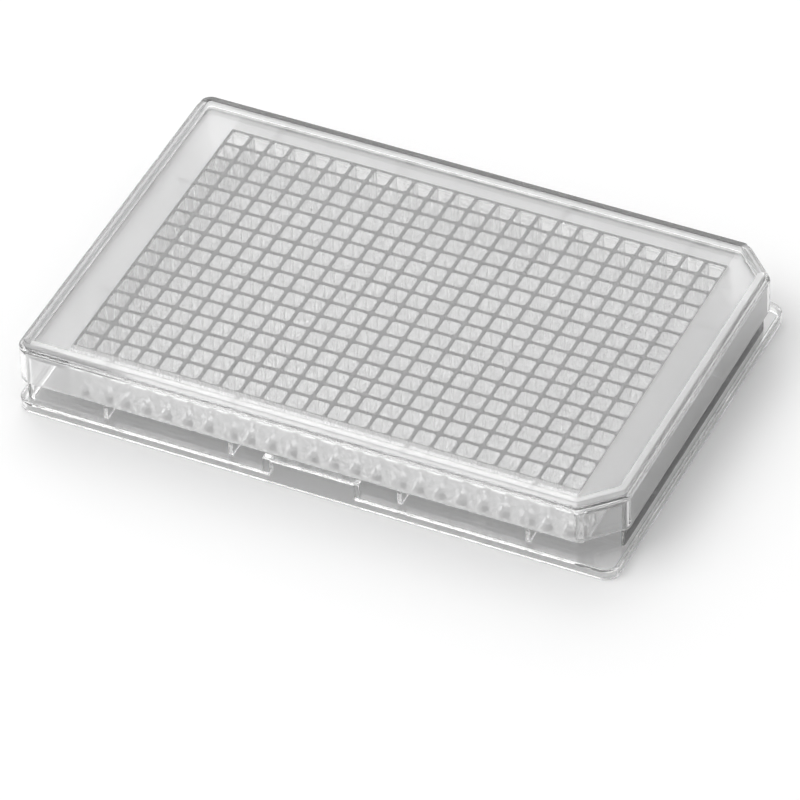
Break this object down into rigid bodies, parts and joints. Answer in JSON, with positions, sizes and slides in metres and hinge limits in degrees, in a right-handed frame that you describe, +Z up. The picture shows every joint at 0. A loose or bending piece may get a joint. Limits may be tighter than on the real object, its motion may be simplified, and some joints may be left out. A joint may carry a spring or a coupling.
{
  "type": "lidded microplate",
  "caption": "Clear moulded microplate with a dense grid of square wells for assays, under a loose clear lid with a stacking ridge and two cut corners.",
  "frame": {"origin": "middle of the foot, on the plane that the plate stands on", "axes": "+X along the long side towards the two cut corners, +Y along the short side, +Z up out of the wells"},
  "size_m": [0.1278, 0.0854, 0.0169],
  "materials": {
    "plate_plastic": "clear polished polystyrene",
    "lid_plastic": "clear polished polystyrene"
  },
  "bodies": {
    "root": {"well_plate": "plate_plastic", "lid": "lid_plastic"}
  },
  "joints": []
}
